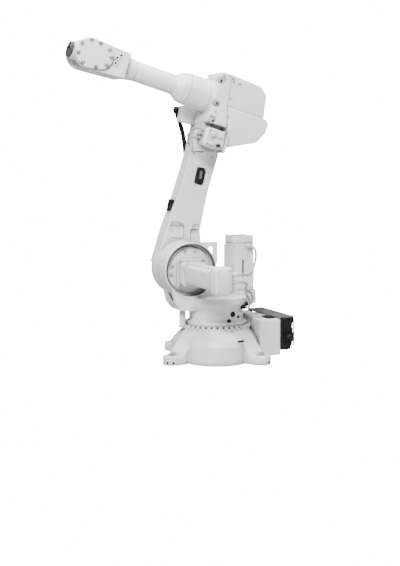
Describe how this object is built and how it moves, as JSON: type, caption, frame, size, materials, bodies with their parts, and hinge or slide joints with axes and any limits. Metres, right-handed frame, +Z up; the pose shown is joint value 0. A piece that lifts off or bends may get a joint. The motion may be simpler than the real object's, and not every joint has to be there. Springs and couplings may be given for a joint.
{
  "type": "industrial robot arm",
  "caption": "Six-axis articulated robot arm on a round cast floor base, with side-mounted lower arm, tubular forearm, forked wrist and round tool flange.",
  "frame": {"origin": "on the turning axis of the frame, at floor level", "axes": "+X the way the forearm points at rest, +Y the robot's left, the side of the shoulder motor, +Z up"},
  "size_m": [1.0624, 0.7482, 1.4913],
  "materials": {
    "white_paint": "semi-gloss light grey-white paint over castings",
    "black_plastic": "matt black moulded plastic",
    "black_rubber": "black hose jacket",
    "dark_grey_paint": "satin dark grey paint",
    "connector_grey": "pale connector shells",
    "cable_grey": "pale grey cable jacket",
    "machined_steel": "dark machined face"
  },
  "bodies": {
    "base": {"base_casting": "white_paint", "stop_post": "white_paint", "rear_box": "white_paint", "rear_roof": "dark_grey_paint", "rear_lid": "black_plastic", "connector_hood": "black_plastic", "hood_gland": "black_plastic"},
    "turning_frame": {"turning_frame": "white_paint", "lifting_lug": "white_paint", "motor1_flange": "white_paint", "motor1_body": "white_paint", "motor1_cap": "white_paint", "motor1_plug": "connector_grey", "gear2_plate": "white_paint", "motor2_flange": "white_paint", "motor2_body": "white_paint", "motor2_cap": "white_paint", "motor2_plugs": "connector_grey", "frame_plugs": "black_plastic", "cable_grommets": "black_plastic", "motor_cables": "cable_grey"},
    "lower_arm": {"lower_arm": "white_paint", "window_plug": "black_plastic", "hub_cover": "white_paint", "elbow_cover": "white_paint", "edge_clamp": "black_plastic", "elbow_hose": "black_rubber", "hose_clip": "black_plastic", "elbow_bracket": "white_paint"},
    "upper_arm": {"arm_house": "white_paint", "rear_cover_upper": "white_paint", "rear_cover_lower": "white_paint", "motor3_flange": "white_paint", "motor3_body": "white_paint", "motor3_boss": "connector_grey", "motor3_rail": "white_paint"},
    "forearm": {"forearm_tube": "white_paint", "wrist_fork": "white_paint", "wrist_cover_left": "white_paint", "wrist_cover_right": "white_paint"},
    "wrist": {"tilt_housing": "white_paint"},
    "tool_flange": {"tool_flange": "machined_steel"}
  },
  "joints": [
    {"name": "axis_1", "type": "hinge", "parent": "base", "child": "turning_frame", "pos_m": [0, 0, 0.16], "axis": [0, 0, 1], "range_deg": [-180, 180]},
    {"name": "axis_2", "type": "hinge", "parent": "turning_frame", "child": "lower_arm", "pos_m": [0.15, -0.085, 0.423], "axis": [0, 1, 0], "range_deg": [-77.6, 122.4]},
    {"name": "axis_3", "type": "hinge", "parent": "lower_arm", "child": "upper_arm", "pos_m": [-0.00032, -0.085, 1.10667], "axis": [0, -1, 0], "range_deg": [-69.5, 175.5]},
    {"name": "axis_4", "type": "hinge", "parent": "upper_arm", "child": "forearm", "pos_m": [0.15342, 0, 1.27043], "axis": [0.9568, 0, 0.2907], "range_deg": [-360, 360]},
    {"name": "axis_5", "type": "hinge", "parent": "forearm", "child": "wrist", "pos_m": [0.64359, 0, 1.41936], "axis": [0, 1, 0], "range_deg": [-120, 120]},
    {"name": "axis_6", "type": "hinge", "parent": "wrist", "child": "tool_flange", "pos_m": [0.71057, 0, 1.43971], "axis": [0.9568, 0, 0.2907], "range_deg": [-360, 360]}
  ]
}
